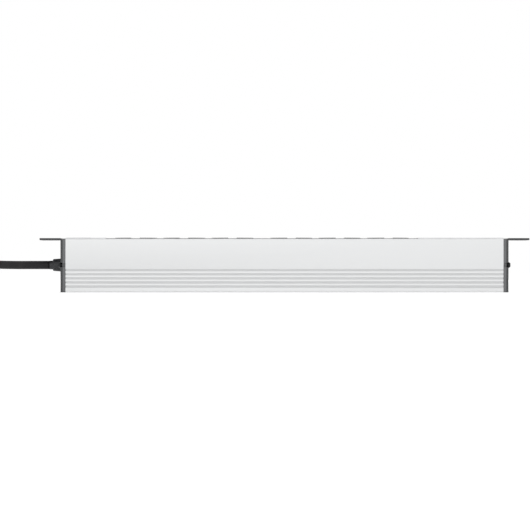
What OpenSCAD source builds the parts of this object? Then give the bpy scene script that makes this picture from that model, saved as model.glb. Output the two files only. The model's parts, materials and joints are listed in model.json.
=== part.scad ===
// Power strip for a desk or a 19 inch frame: six earthed sockets in an aluminium channel.
// The strip lies along X and stands on its floor at z = 0. The sockets face up, the cord leaves to -X.

/* [Channel] */
// Length of the aluminium channel
channel_l = 431.6; // [400:0.1:600]
// Width of the channel, front to back
channel_w = 44.4; // [44.4:0.1:60]
// Height of the channel
channel_h = 53.1; // [53:0.1:80]
// Thickness of the side walls
wall = 1.8; // [1.8:0.1:2.2]
// Thickness of the channel's floor
floor_t = 2; // [1.6:0.1:3]
// Radius of the channel's long edges
edge_r = 1.2; // [0.8:0.1:1.6]
// Thickness of the lips that stand beside the socket blocks
lip_t = 0.9; // [0.7:0.05:1.2]
// Depth of the seat that the blocks and covers lie in
seat_d = 3; // [2:0.1:4]
// Number of grooves along each side
groove_count = 5; // [0:1:6]
// Spacing of the grooves
groove_pitch = 4.04; // [3:0.01:5]
// Width of a groove
groove_w = 1.9; // [1:0.1:2.5]
// Depth of a groove
groove_d = 0.9; // [0.3:0.1:1]
// Height of the lowest groove's middle
groove_z = 5.8; // [4:0.1:7]

/* [Socket blocks] */
// Length of a block of three sockets
block_l = 153.9; // [150:0.1:162]
// Spacing of the sockets in a block
socket_pitch = 47.8; // [46:0.1:50]
// Bare length between the channel's left end and the first block
left_gap = 39.7; // [36:0.1:60]
// Inner diameter of a socket's well
well_d = 38.8; // [38.6:0.1:39.4]
// Depth of a well below its rim
well_depth = 17.5; // [16:0.5:18]
// Thickness of a well's wall
well_wall = 0.9; // [0.6:0.1:1]
// How far the blocks' plates stand above the channel
plate_proud = 0.3; // [0:0.1:0.5]
// Height of a rim above its plate
rim_h = 0.5; // [0.2:0.1:1]
// Width of a rim
rim_w = 1.4; // [1:0.1:1.6]
// Width of the notches that the rims have over the earth clips
notch_w = 8.4; // [7:0.1:10]
// Spacing of the two pin holes
pin_pitch = 19; // [18.5:0.1:19.5]
// Diameter of a pin hole
pin_hole_d = 5.4; // [5:0.1:5.8]

/* [Covers] */
// How far the covers stand above the channel
cover_proud = 0.8; // [0:0.1:1]
// Length of the blank plate on the left cover
rating_l = 22.6; // [10:0.1:28]
// Width of the blank plate
rating_w = 34; // [10:0.5:40]
// Thickness of the blank plate
rating_t = 0.2; // [0.1:0.1:0.5]
// Distance from the channel's left end to the blank plate
rating_inset = 1.4; // [0.5:0.1:6]

/* [Ends] */
// Height of the cord and of the brackets' screws
axis_z = 27; // [26:0.1:30]
// Thickness of an end cap
cap_t = 2.9; // [2:0.1:5]
// How far the caps stop short of the channel's top
cap_drop = 0; // [0:0.1:2]
// Radius of the caps' corners
cap_r = 2; // [1:0.1:3]
// Thickness of the brackets' sheet
sheet_t = 2; // [1.5:0.1:3]
// Length of an ear beyond the bracket's outer face
ear_l = 20.6; // [18:0.1:40]
// How far the ears' top lies above the channel's top
ear_rise = 0.4; // [0:0.1:1]
// Outer radius of the brackets' bend
bend_r = 2.5; // [2.2:0.1:4]
// Length of a mounting slot
slot_l = 10.3; // [8:0.1:14]
// Width of a mounting slot
slot_w = 6.8; // [5:0.1:8]
// Spacing of the two slots in an ear
slot_pitch = 31.75; // [25:0.05:34]
// Distance from an ear's tip to the middle of its slots
slot_inset = 8.75; // [7:0.05:12]

/* [Screws] */
// Diameter of the bracket screws' and block screws' thread
screw_d = 3; // [2.5:0.1:3.5]
// Diameter of a bracket screw's head
head_d = 5.8; // [5:0.1:7]
// Height of a bracket screw's head
head_h = 2.1; // [1.5:0.1:3]
// Length of a bracket screw under its head
bracket_screw_l = 12; // [10:1:20]

/* [Cord] */
// Diameter of the mains cord
cord_d = 8.2; // [7:0.1:8.4]
// Diameter of the cord bush at the bracket
bush_d = 13; // [11:0.1:16]
// Length of the bush's ribbed part
bush_l = 8.8; // [6:0.1:15]
// Length of the bush's nose
nose_l = 3.3; // [3:0.1:10]

/* [Hidden] */

$fn = 64;
e = 0.5; // how far a cutting shape runs past the face it cuts
fit = 0.1; // clearance between pieces that drop into each other
run = 0.05; // radial clearance of a running fit
thread = 0.02; // radial clearance of a screw in its pilot hole

// Places along the strip
end_x = channel_l / 2;
cap_x = end_x + cap_t;
bracket_x = cap_x + sheet_t;
tip_x = bracket_x + ear_l;
block_x = [-end_x + left_gap + block_l / 2, -end_x + left_gap + block_l * 3 / 2];
blocks_end = -end_x + left_gap + 2 * block_l;
socket_x = [-socket_pitch, 0, socket_pitch];
rib_x = [-socket_pitch / 2, socket_pitch / 2];

// Heights
seat_z = channel_h - seat_d;
face_z = channel_h + plate_proud;
cover_z = channel_h + cover_proud;
rim_z = face_z + rim_h;
well_floor_t = 2.5;
well_z = rim_z - well_depth; // upper face of a well's floor
under_z = well_z - well_floor_t; // lower face of a well's floor
bar_top = under_z - 9.7;
bar_h = 8;
bar_z = bar_top - bar_h;
base_t = 1.6;
base_top = bar_z - 8;
base_z = base_top - base_t;

// Widths
inner_w = channel_w - 2 * wall;
seat_w = channel_w - 2 * lip_t;
plate_w = seat_w - 2 * fit;
well_r = well_d / 2;
shell_r = well_r + well_wall;
shell_w = 2 * shell_r;
skin = 1.2; // wall of the blocks' mouldings
chamber_w = 28.4;
piece_l = block_l - 0.2;

// Screw ports in the channel
port_r = 3.2;
port_y = channel_w / 2 - wall - port_r + 0.7;
pilot_r = screw_d / 2 + thread;

// Contacts
strip_t = 1.2;
bar_y = 8.6;
clip_w = 7;
leaf_gap = 4.9;
leaf_t = 0.8;
leaf_top = under_z - 3.7;
strip_end = 66;
wire_r = 1.7;
earth_t = 1;
earth_w = 12;
earth_leg_w = 5;
earth_leg_t = 0.8;
earth_in = 11.2; // where a leg climbs in the contact chamber
earth_out = well_r - 0.5; // outer face of a leg inside the well

// Shutters
shutter_t = 2.8;
shutter_z = under_z - 0.3 - shutter_t;
shutter_r = 13;
shutter_w = 6.4;
hub_r = 4.7;
pivot_r = 1.5;
pivot_end = shutter_z - 1.2;
spring_in = 2.6;
spring_out = 3.6;
spring_h = 1;

// Supply end
sheath_end = -end_x + 7;
terminal_x = -end_x + 17;
terminal_l = 11;
terminal_w = 26;
wire_z = bar_z + bar_h / 2;
terminal_top = wire_z + 6;
earth_wire_z = base_top + 3.2;
tag_x = -end_x + 35;
tag_y = -16;
bush_tip = -bracket_x - bush_l - nose_l;

// Cord beyond the bush, in round numbers
lead_route = [
    [-232.8, 0, 27], [-250, 0, 27], [-268, 0, 27], [-284, 0, 27.4], [-296, 0, 28.7],
    [-307, 0, 29.4], [-313, 0.2, 29.4], [-327, 3.4, 29.4], [-341, 11.8, 29.4], [-355, 20.6, 29.4],
    [-367, 24.4, 29.4], [-372, 24.6, 29.4]
];
tail_route = [
    [-466.5, 24.6, 4.7], [-480, 22.6, 6.6], [-494, 17.6, 11.4], [-508, 12.4, 16.4],
    [-521, 10.3, 18.4], [-526.5, 10.2, 18.5]
];
lead_end = lead_route[len(lead_route) - 1][0];
tie_t = 0.6;
hank_r = 24.6; // radius of the folds' middle line
hank_x = [-456.5, -334.6]; // middles of the folds
hank_low = tie_t;
hank_top = tie_t + 3 * cord_d;

// Plug
plug_tip = [-526.5, 10.2, 18.5]; // where the cord enters the boot
boot_l = 22;
plug_l = 42;
plug_r = 18.5;
plug_pin_r = 2.4;
plug_pin_l = 19;

// A flat outline, drawn as across and up, carried along X
module along_x(l) {
    rotate([90, 0, 90])
        linear_extrude(l, center = true)
            children();
}

// A rectangle with round corners, standing on the origin's level
module rounded(w, h, r) {
    translate([-w / 2, r])
        square([w, h - 2 * r]);
    translate([-w / 2 + r, 0])
        square([w - 2 * r, h]);
    for (x = [-w / 2 + r, w / 2 - r])
        for (y = [r, h - r])
            translate([x, y])
                circle(r);
}

// A box centred on X and Y, from one height to another
module box(l, w, low, high) {
    translate([-l / 2, -w / 2, low])
        cube([l, w, high - low]);
}

// A round bar lying along X
module bar_x(from, to, r) {
    translate([from, 0, 0])
        rotate([0, 90, 0])
            cylinder(h = to - from, r = r);
}

// A tube carried along a list of points, closed at both ends
function unit(v) = v / norm(v);
function heading(p, i) = unit(p[min(i + 1, len(p) - 1)] - p[max(i - 1, 0)]);
function ring_at(p, i, r, n) =
    let (t = heading(p, i), s = unit(cross(t, [0, 0, 1])), u = cross(s, t))
    [for (k = [0:n - 1]) p[i] + r * (cos(360 * k / n) * s + sin(360 * k / n) * u)];

module tube(p, r, n = 10) {
    rings = [for (i = [0:len(p) - 1]) each ring_at(p, i, r, n)];
    last = (len(p) - 1) * n;
    skin_faces = [
        for (i = [0:len(p) - 2])
            for (k = [0:n - 1])
                [i * n + k, (i + 1) * n + k, (i + 1) * n + (k + 1) % n, i * n + (k + 1) % n]
    ];
    first_face = [for (k = [0:n - 1]) k];
    last_face = [for (k = [n - 1:-1:0]) last + k];
    polyhedron(rings, concat(skin_faces, [first_face, last_face]), convexity = 4);
}

// ---- Channel ----

module channel_section() {
    difference() {
        union() {
            difference() {
                rounded(channel_w, channel_h, edge_r);
                translate([-inner_w / 2, floor_t])
                    square([inner_w, channel_h]);
            }
            for (side = [-1, 1])
                translate([side * port_y, axis_z])
                    circle(port_r);
        }
        translate([-seat_w / 2, seat_z])
            square([seat_w, channel_h]);
        for (side = [-1, 1]) {
            translate([side * port_y, axis_z])
                circle(pilot_r);
            for (i = [0:1:groove_count - 1])
                translate([side * channel_w / 2, groove_z + i * groove_pitch])
                    square([2 * groove_d, groove_w], center = true);
            translate([side * inner_w / 2, seat_z - bead_drop])
                square([2 * bead_d, bead_h + 2 * fit], center = true);
        }
    }
}

bead_drop = 6; // how far below the seat the covers' beads snap in
bead_d = 0.5;
bead_h = 1.4;
sink_r = 2.9;
sink_d = 1.5;

module channel() {
    color("gainsboro")
        difference() {
            along_x(channel_l)
                channel_section();
            for (xb = block_x)
                for (x = rib_x)
                    translate([xb + x, 0, -e])
                        cylinder(h = floor_t + 2 * e, r = screw_d / 2 + fit);
            for (xb = block_x)
                for (x = rib_x)
                    translate([xb + x, 0, -e])
                        cylinder(h = e + sink_d, r1 = sink_r + e, r2 = screw_d / 2 + fit);
            translate([tag_x, tag_y, -e])
                cylinder(h = floor_t + 2 * e, r = tag_screw_r + thread);
        }
}

// ---- Socket blocks ----

module chamber_walls(low, high) {
    difference() {
        box(piece_l - 2, chamber_w, low, high);
        box(piece_l - 2 - 2 * skin, chamber_w - 2 * skin, low - e, high + e);
    }
}

module skirt_walls(low, high) {
    difference() {
        box(piece_l - 2, shell_w, low, high);
        box(piece_l - 2 - 2 * skin, shell_w - 2 * skin, low - e, high + e);
    }
}

module socket_shell() {
    box(piece_l, plate_w, seat_z, face_z);
    chamber_walls(base_top, seat_z + e);
    skirt_walls(under_z, seat_z + e);
    for (x = socket_x)
        translate([x, 0, 0]) {
            translate([0, 0, under_z])
                cylinder(h = seat_z - under_z + e, r = shell_r);
            translate([0, 0, seat_z])
                cylinder(h = rim_z - seat_z, r = well_r + rim_w);
        }
    for (x = rib_x)
        translate([x, 0, 0]) {
            box(skin, chamber_w - skin, bar_top, seat_z + e);
            translate([0, 0, base_top])
                cylinder(h = seat_z + e - base_top, r = port_r);
        }
}

module socket_cuts() {
    for (x = socket_x)
        translate([x, 0, 0]) {
            translate([0, 0, well_z])
                cylinder(h = well_depth + e, r = well_r);
            for (side = [-1, 1]) {
                translate([side * pin_pitch / 2, 0, under_z - e])
                    cylinder(h = well_floor_t + 2 * e, r = pin_hole_d / 2);
                translate([0, side * (well_r + rim_w), 0])
                    box(notch_w, 4 * rim_w, face_z, rim_z + e);
                translate([0, side * (earth_in + earth_out) / 2, 0])
                    box(earth_leg_w + 1.2, earth_out - earth_in + 1, under_z - e, well_z + e);
            }
        }
    for (x = rib_x)
        translate([x, 0, base_top - e])
            cylinder(h = 14 + e, r = pilot_r);
    for (y = [-bar_y, bar_y])
        translate([0, y, wire_z])
            bar_x(-piece_l / 2 - e, piece_l / 2 + e, wire_r + 0.4);
    translate([0, 0, earth_wire_z])
        bar_x(-piece_l / 2 - e, piece_l / 2 + e, wire_r + 0.4);
}

module socket_keys() {
    for (x = socket_x)
        for (side = [-1, 1])
            translate([x + side * (well_r - 0.6), 0, 0])
                box(1.8, 4.4, well_z - e, face_z - 2);
}

module socket_block(at) {
    color("dimgray")
        translate([at, 0, 0]) {
            difference() {
                socket_shell();
                socket_cuts();
            }
            socket_keys();
            for (x = socket_x)
                translate([x, 0, pivot_end])
                    cylinder(h = under_z - pivot_end + e, r = pivot_r);
        }
}

module block_base(at) {
    color("dimgray")
        translate([at, 0, 0])
            difference() {
                union() {
                    box(piece_l - 2, chamber_w, base_z, base_top);
                    for (x = rib_x)
                        translate([x, 0, 0]) {
                            translate([0, 0, floor_t])
                                cylinder(h = base_z - floor_t + e, r = 4.5);
                            for (y = [-bar_y, bar_y])
                                translate([0, y, 0])
                                    box(3, 3, base_top - e, bar_z);
                        }
                }
                for (x = rib_x)
                    translate([x, 0, floor_t - e])
                        cylinder(h = base_top - floor_t + 2 * e, r = screw_d / 2 + fit);
            }
}

// ---- Contact strips ----

module pole_strip(at, side) {
    translate([at, 0, 0]) {
        translate([0, side * bar_y, 0]) {
            box(2 * strip_end, strip_t, bar_z, bar_top);
            for (x = [-strip_end, strip_end])
                translate([x, 0, 0])
                    box(1, 4.4, bar_z, bar_top);
        }
        for (x = socket_x)
            translate([x - side * pin_pitch / 2, 0, 0]) {
                translate([-clip_w / 2, side > 0 ? -leaf_gap / 2 - leaf_t : -bar_y, bar_z])
                    cube([clip_w, bar_y + leaf_gap / 2 + leaf_t, strip_t]);
                for (y = [-1, 1])
                    translate([0, y * (leaf_gap + leaf_t) / 2, 0])
                        box(clip_w, leaf_t, bar_z, leaf_top);
            }
    }
}

module live_strip(at) {
    color("goldenrod")
        pole_strip(at, 1);
}

module neutral_strip(at) {
    color("goldenrod")
        pole_strip(at, -1);
}

// Outline of one earth leg, across and up: up the chamber, out under the well, up its wall to a soft nose
module earth_leg() {
    out = earth_out;
    t = earth_leg_t;
    top = face_z - 2.5;
    polygon([
        [earth_in, base_top], [earth_in + t, base_top], [earth_in + t, under_z + 0.7],
        [out, under_z + 0.7], [out, well_z + 5], [out - 1.9, well_z + 9], [out, top],
        [out - t, top], [out - t - 1.9, well_z + 9], [out - t, well_z + 5],
        [out - t, under_z + 0.7 + t], [earth_in, under_z + 0.7 + t]
    ]);
}

module earth_strip(at) {
    color("silver")
        translate([at, 0, 0]) {
            difference() {
                union() {
                    box(2 * strip_end, earth_w, base_top, base_top + earth_t);
                    for (x = socket_x)
                        translate([x, 0, 0])
                            box(earth_leg_w, 2 * earth_in + 1, base_top, base_top + earth_t);
                }
                for (x = rib_x)
                    translate([x, 0, base_top - e])
                        cylinder(h = earth_t + 2 * e, r = port_r + 0.5);
            }
            for (x = [-strip_end, strip_end])
                translate([x, 0, 0])
                    box(1, 6, base_top, earth_wire_z + 3);
            for (x = socket_x)
                for (turn = [0, 180])
                    translate([x, 0, 0])
                        rotate([0, 0, turn])
                            along_x(earth_leg_w)
                                earth_leg();
        }
}

// ---- Shutters ----

module shutter(i) {
    at = block_x[floor(i / 3)] + socket_x[i % 3];
    color("white")
        translate([at, 0, shutter_z])
            difference() {
                union() {
                    cylinder(h = shutter_t, r = hub_r);
                    intersection() {
                        cylinder(h = shutter_t, r = shutter_r);
                        box(2 * shutter_r + e, shutter_w, 0, shutter_t);
                    }
                }
                translate([0, 0, -e])
                    cylinder(h = shutter_t + 2 * e, r = pivot_r + run);
                translate([0, 0, shutter_t - spring_h - 0.2])
                    difference() {
                        cylinder(h = spring_h + e, r = spring_out + 0.3);
                        translate([0, 0, -e])
                            cylinder(h = spring_h + 3 * e, r = spring_in - 0.3);
                    }
            }
}

module at_each_socket() {
    for (xb = block_x)
        for (x = socket_x)
            translate([xb + x, 0, 0])
                children();
}

module shutter_springs() {
    color("silver")
        at_each_socket()
            translate([0, 0, under_z - spring_h])
                difference() {
                    cylinder(h = spring_h, r = spring_out);
                    translate([0, 0, -e])
                        cylinder(h = spring_h + 2 * e, r = spring_in);
                }
}

module shutter_washers() {
    color("silver")
        at_each_socket()
            translate([0, 0, pivot_end + 0.3])
                difference() {
                    cylinder(h = 0.5, r = 3.4);
                    translate([0, 0, -e])
                        cylinder(h = 0.5 + 2 * e, r = pivot_r);
                }
}

// ---- Covers ----

// A blank plate with two springy skirts whose beads snap into the channel
module cover(from, to) {
    l = to - from - 2 * fit;
    skirt_w = inner_w - 2 * fit;
    color("lightgray")
        translate([(from + to) / 2, 0, 0]) {
            box(l, plate_w, seat_z, cover_z);
            for (side = [-1, 1])
                translate([0, side * (skirt_w / 2 - skin / 2), 0]) {
                    box(l, skin, seat_z - bead_drop - 2, seat_z + e);
                    translate([0, side * (skin / 2), 0])
                        box(l - 4, 2 * (bead_d - fit), seat_z - bead_drop - bead_h / 2,
                            seat_z - bead_drop + bead_h / 2);
                }
        }
}

module rating_plate() {
    color("whitesmoke")
        translate([-end_x + rating_inset + rating_l / 2, 0, 0])
            box(rating_l, rating_w, cover_z, cover_z + rating_t);
}

// ---- Ends ----

// The end cap for the right end; the left one is its mirror image
module cap_solid(hole_r) {
    difference() {
        union() {
            translate([end_x + cap_t / 2, 0, 0])
                along_x(cap_t)
                    rounded(channel_w, channel_h - cap_drop, cap_r);
            for (low = [floor_t + fit, axis_z + nut_r + 2])
                translate([end_x - 4, 0, 0])
                    box(8 + e, chamber_w - 4, low, low + 2);
        }
        for (side = [-1, 1]) {
            translate([0, side * port_y, axis_z])
                bar_x(end_x - e, cap_x + e, screw_d / 2 + 0.2);
            translate([end_x + cap_t / 2, side * channel_w / 2, 0])
                box(1.9, 2, axis_z - 1.9, axis_z + 1.9);
        }
        if (hole_r > 0)
            translate([0, 0, axis_z])
                bar_x(end_x - e, cap_x + e, hole_r);
    }
}

module end_cap_right() {
    color("gray")
        cap_solid(0);
}

module end_cap_left() {
    color("gray")
        mirror([1, 0, 0])
            cap_solid(shank_r + fit);
}

// Side outline of the right bracket: a leg down the cap and an ear outwards, with a true bend
module bracket_outline() {
    top = channel_h + ear_rise;
    inner_r = bend_r - sheet_t;
    bend_x = cap_x + bend_r;
    bend_z = top - bend_r;
    translate([cap_x, 0])
        square([sheet_t, bend_z]);
    translate([bend_x, top - sheet_t])
        square([tip_x - bend_x, sheet_t]);
    intersection() {
        translate([cap_x, bend_z])
            square(bend_r);
        difference() {
            translate([bend_x, bend_z])
                circle(bend_r);
            translate([bend_x, bend_z])
                circle(inner_r);
        }
    }
}

module bracket_solid() {
    difference() {
        rotate([90, 0, 0])
            linear_extrude(channel_w, center = true)
                bracket_outline();
        for (side = [-1, 1]) {
            translate([0, side * port_y, axis_z])
                bar_x(cap_x - e, bracket_x + e, open_slot_w / 2);
            translate([cap_x + sheet_t / 2, side * (port_y + channel_w / 4), 0])
                box(sheet_t + 2 * e, channel_w / 2, axis_z - open_slot_w / 2, axis_z + open_slot_w / 2);
            translate([tip_x - slot_inset, side * slot_pitch / 2, channel_h + ear_rise - sheet_t - e])
                linear_extrude(sheet_t + 2 * e) {
                    square([slot_l - slot_w, slot_w], center = true);
                    for (x = [-1, 1])
                        translate([x * (slot_l - slot_w) / 2, 0])
                            circle(slot_w / 2);
                }
        }
        translate([0, 0, axis_z])
            bar_x(cap_x - e, bracket_x + e, shank_r + fit);
    }
}

open_slot_w = 4.3;
shank_r = 5;
nut_r = 8;

module bracket_right() {
    color("dimgray")
        bracket_solid();
}

module bracket_left() {
    color("dimgray")
        mirror([1, 0, 0])
            bracket_solid();
}

module bracket_screw() {
    head = 0.7; // straight part of the head's rim
    difference() {
        union() {
            bar_x(bracket_x - bracket_screw_l, bracket_x + e, screw_d / 2);
            translate([bracket_x, 0, 0])
                rotate([0, 90, 0]) {
                    cylinder(h = head, r = head_d / 2);
                    translate([0, 0, head - thread])
                        cylinder(h = head_h - head + thread, r1 = head_d / 2, r2 = head_d / 3);
                }
        }
        for (turn = [0, 90])
            translate([bracket_x + head_h, 0, 0])
                rotate([turn, 0, 0])
                    cube([2.2, 3.2, 0.6], center = true);
    }
}

module bracket_screws() {
    color("black")
        for (end = [0, 1])
            mirror([end, 0, 0])
                for (side = [-1, 1])
                    translate([0, side * port_y, axis_z])
                        bracket_screw();
}

module block_screws() {
    color("silver")
        for (xb = block_x)
            for (x = rib_x)
                translate([xb + x, 0, 0])
                    difference() {
                        union() {
                            translate([0, 0, 0.1])
                                cylinder(h = base_top + 11, r = screw_d / 2);
                            translate([0, 0, 0.1])
                                cylinder(h = sink_d - 0.2, r1 = sink_r - 0.2, r2 = screw_d / 2);
                        }
                        for (turn = [0, 90])
                            rotate([0, 0, turn])
                                cube([3, 0.6, 1.8], center = true);
                    }
}

// ---- Supply ----

// The bush stands on the left bracket with its axis along X; its outline is radius against distance
module cord_bush() {
    nose_r = cord_d / 2 + 0.3;
    inside = cap_t + sheet_t + 4.6;
    color("black")
        translate([-bracket_x, 0, axis_z])
            rotate([0, -90, 0])
                difference() {
                    rotate_extrude()
                        polygon([
                            [cord_d / 2 + run, -inside], [shank_r, -inside], [shank_r, 0],
                            [bush_d / 2, 0], [bush_d / 2 - 0.6, bush_l - 0.5],
                            [bush_d / 2 - 1, bush_l], [nose_r, bush_l],
                            [nose_r - 0.1, bush_l + nose_l], [cord_d / 2 + run, bush_l + nose_l]
                        ]);
                    for (k = [0:11])
                        rotate([0, 0, 30 * k + 15])
                            translate([bush_d / 2 + 0.3, 0, 0.8])
                                cylinder(h = bush_l, r = 0.8);
                }
}

module bush_nut() {
    color("black")
        translate([-end_x + fit, 0, axis_z])
            rotate([0, 90, 0])
                difference() {
                    cylinder(h = 3, r = nut_r, $fn = 6);
                    translate([0, 0, -e])
                        cylinder(h = 3 + 2 * e, r = shank_r + thread);
                }
}

module cord_inlet() {
    color("black")
        translate([0, 0, axis_z])
            bar_x(bush_tip, sheath_end, cord_d / 2);
}

// A core from the sheath's end to its terminal, then straight to the left block, then on to the right one
module core(y, z, near_y) {
    hull() {
        translate([sheath_end, near_y, axis_z])
            bar_x(0, 0.5, wire_r, $fn = 16);
        translate([terminal_x - 0.5, y, z])
            bar_x(0, 0.5, wire_r, $fn = 16);
    }
    translate([0, y, z]) {
        bar_x(terminal_x + terminal_l, block_x[0] - strip_end - 0.5, wire_r);
        bar_x(block_x[0] + strip_end + 0.5, block_x[1] - strip_end - 0.5, wire_r);
    }
}

module wire_live() {
    color("saddlebrown")
        core(bar_y, wire_z, 2.2);
}

module wire_neutral() {
    color("royalblue")
        core(-bar_y, wire_z, -2.2);
}

module wire_earth() {
    color("yellowgreen") {
        hull() {
            translate([sheath_end, 0, axis_z - 2.3])
                bar_x(0, 0.5, wire_r / 2, $fn = 16);
            translate([terminal_x - 0.5, 0, earth_wire_z])
                bar_x(0, 0.5, wire_r, $fn = 16);
        }
        translate([0, 0, earth_wire_z]) {
            bar_x(terminal_x + terminal_l, block_x[0] - strip_end - 0.5, wire_r);
            bar_x(block_x[0] + strip_end + 0.5, block_x[1] - strip_end - 0.5, wire_r);
        }
    }
}

module terminal_block() {
    color("ivory")
        difference() {
            translate([terminal_x + terminal_l / 2, 0, 0])
                box(terminal_l, terminal_w, floor_t, terminal_top);
            for (y = [-bar_y, 0, bar_y])
                translate([terminal_x + terminal_l / 2, y, terminal_top - 3])
                    cylinder(h = 3 + e, r = 2 + thread);
        }
}

module terminal_screws() {
    color("silver")
        for (y = [-bar_y, 0, bar_y])
            translate([terminal_x + terminal_l / 2, y, terminal_top - 3])
                difference() {
                    cylinder(h = 2.4, r = 2);
                    translate([0, 0, 2.4])
                        cube([5, 0.7, 1.4], center = true);
                }
}

tag_screw_r = 2;

module earth_tag() {
    color("silver")
        difference() {
            translate([tag_x, tag_y, floor_t]) {
                cylinder(h = 0.8, r = 4);
                translate([-12, -2, 0])
                    cube([12, 4, 0.8]);
            }
            translate([tag_x, tag_y, 0])
                cylinder(h = 2 * floor_t, r = tag_screw_r + fit);
        }
}

module earth_screw() {
    color("silver")
        translate([tag_x, tag_y, 0])
            difference() {
                union() {
                    translate([0, 0, 0.2])
                        cylinder(h = floor_t + 1, r = tag_screw_r);
                    translate([0, 0, floor_t + 0.8])
                        cylinder(h = 2.4, r = 3.6);
                }
                translate([0, 0, floor_t + 3.2])
                    cube([5, 1, 2], center = true);
            }
}

// ---- Cord and plug ----

module cord_lead() {
    color("black")
        tube(lead_route, cord_d / 2);
}

module cord_tail() {
    color("black")
        tube(tail_route, cord_d / 2);
}

// Three full turns of the hank, and the first run that lies on them
module cord_hank() {
    color("black") {
        translate([0, 0, hank_low])
            linear_extrude(hank_top - hank_low) {
                translate([hank_x[0], -hank_r - cord_d / 2])
                    square([hank_x[1] - hank_x[0], 2 * hank_r + cord_d]);
                for (x = hank_x)
                    translate([x, 0])
                        circle(hank_r + cord_d / 2);
            }
        translate([hank_x[0], hank_r - cord_d / 2, hank_top])
            cube([lead_end - hank_x[0], cord_d, cord_d]);
    }
}

module tie_outline(grow) {
    side = hank_r + cord_d / 2 + grow;
    polygon([
        [-side, hank_low - grow], [side, hank_low - grow],
        [side, hank_top + cord_d + grow], [hank_r - cord_d / 2, hank_top + cord_d + grow],
        [-side, hank_top + grow]
    ]);
}

module hank_tie() {
    color("black")
        translate([(hank_x[0] + hank_x[1]) / 2, 0, 0])
            along_x(16)
                difference() {
                    tie_outline(tie_t);
                    tie_outline(0);
                }
}

// The plug lies on its side with its pins towards -X
module on_plug() {
    translate(plug_tip)
        rotate([0, -90, 0])
            children();
}

module plug_boot() {
    color("black")
        on_plug()
            difference() {
                cylinder(h = boot_l, r1 = 5.2, r2 = 8);
                for (z = [4, 8, 12, 16])
                    translate([0, 0, z])
                        difference() {
                            cylinder(h = 1.4, r = 12);
                            translate([0, 0, -e])
                                cylinder(h = 3, r = 4.6);
                        }
            }
}

module plug_body() {
    color("black")
        on_plug()
            difference() {
                translate([0, 0, boot_l])
                    rotate_extrude()
                        polygon([
                            [0, 0], [9, 0], [10.5, 1.5], [11.5, 9], [16, 16], [plug_r - 0.4, 20],
                            [plug_r, 22], [plug_r, plug_l - 1], [plug_r - 1, plug_l], [0, plug_l]
                        ]);
                for (side = [-1, 1]) {
                    translate([side * (plug_r - 0.6), 0, 0])
                        box(2.4, 6.4, boot_l + plug_l - 16, boot_l + plug_l + e);
                    translate([0, side * (plug_r - 0.4), 0])
                        box(5.2, 3.6, boot_l + plug_l - 17, boot_l + plug_l + e);
                    translate([0, side * 9.5, boot_l + plug_l - 8])
                        cylinder(h = 8 + e, r = plug_pin_r);
                }
            }
}

module plug_pins() {
    color("silver")
        on_plug()
            for (side = [-1, 1])
                translate([0, side * 9.5, boot_l + plug_l - 8]) {
                    cylinder(h = plug_pin_l + 8 - 1.2, r = plug_pin_r);
                    translate([0, 0, plug_pin_l + 8 - 1.2])
                        cylinder(h = 1.2, r1 = plug_pin_r, r2 = plug_pin_r - 1);
                }
}

module plug_earth_clips() {
    color("silver")
        on_plug()
            for (side = [-1, 1])
                translate([side * (plug_r - 1.3), 0, 0])
                    box(0.8, 5.6, boot_l + plug_l - 16, boot_l + plug_l - 0.5);
}

channel();
socket_block(block_x[0]);  // socket_block_left
socket_block(block_x[1]);  // socket_block_right
block_base(block_x[0]);  // block_base_left
block_base(block_x[1]);  // block_base_right
live_strip(block_x[0]);  // live_strip_left
live_strip(block_x[1]);  // live_strip_right
neutral_strip(block_x[0]);  // neutral_strip_left
neutral_strip(block_x[1]);  // neutral_strip_right
earth_strip(block_x[0]);  // earth_strip_left
earth_strip(block_x[1]);  // earth_strip_right
shutter(0);  // shutter_1
shutter(1);  // shutter_2
shutter(2);  // shutter_3
shutter(3);  // shutter_4
shutter(4);  // shutter_5
shutter(5);  // shutter_6
shutter_springs();
shutter_washers();
cover(-end_x, -end_x + left_gap);  // cover_left
cover(blocks_end, end_x);  // cover_right
end_cap_left();
end_cap_right();
bracket_left();
bracket_right();
bracket_screws();
block_screws();
cord_bush();
bush_nut();
cord_inlet();
wire_live();
wire_neutral();
wire_earth();
terminal_block();
terminal_screws();
earth_tag();
earth_screw();
rating_plate();
cord_lead();
cord_hank();
cord_tail();
hank_tie();
plug_boot();
plug_body();
plug_pins();
plug_earth_clips();
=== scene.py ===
"""Desk power strip: the cord, the tie, rounded edges and finishes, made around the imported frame.

Everything is in metres in the strip's own frame: X along the strip, the sockets face +Z, and the
strip's underside lies at z = 0. The cord leaves at -X and lies beyond that end as a tied hank.
"""

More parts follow.
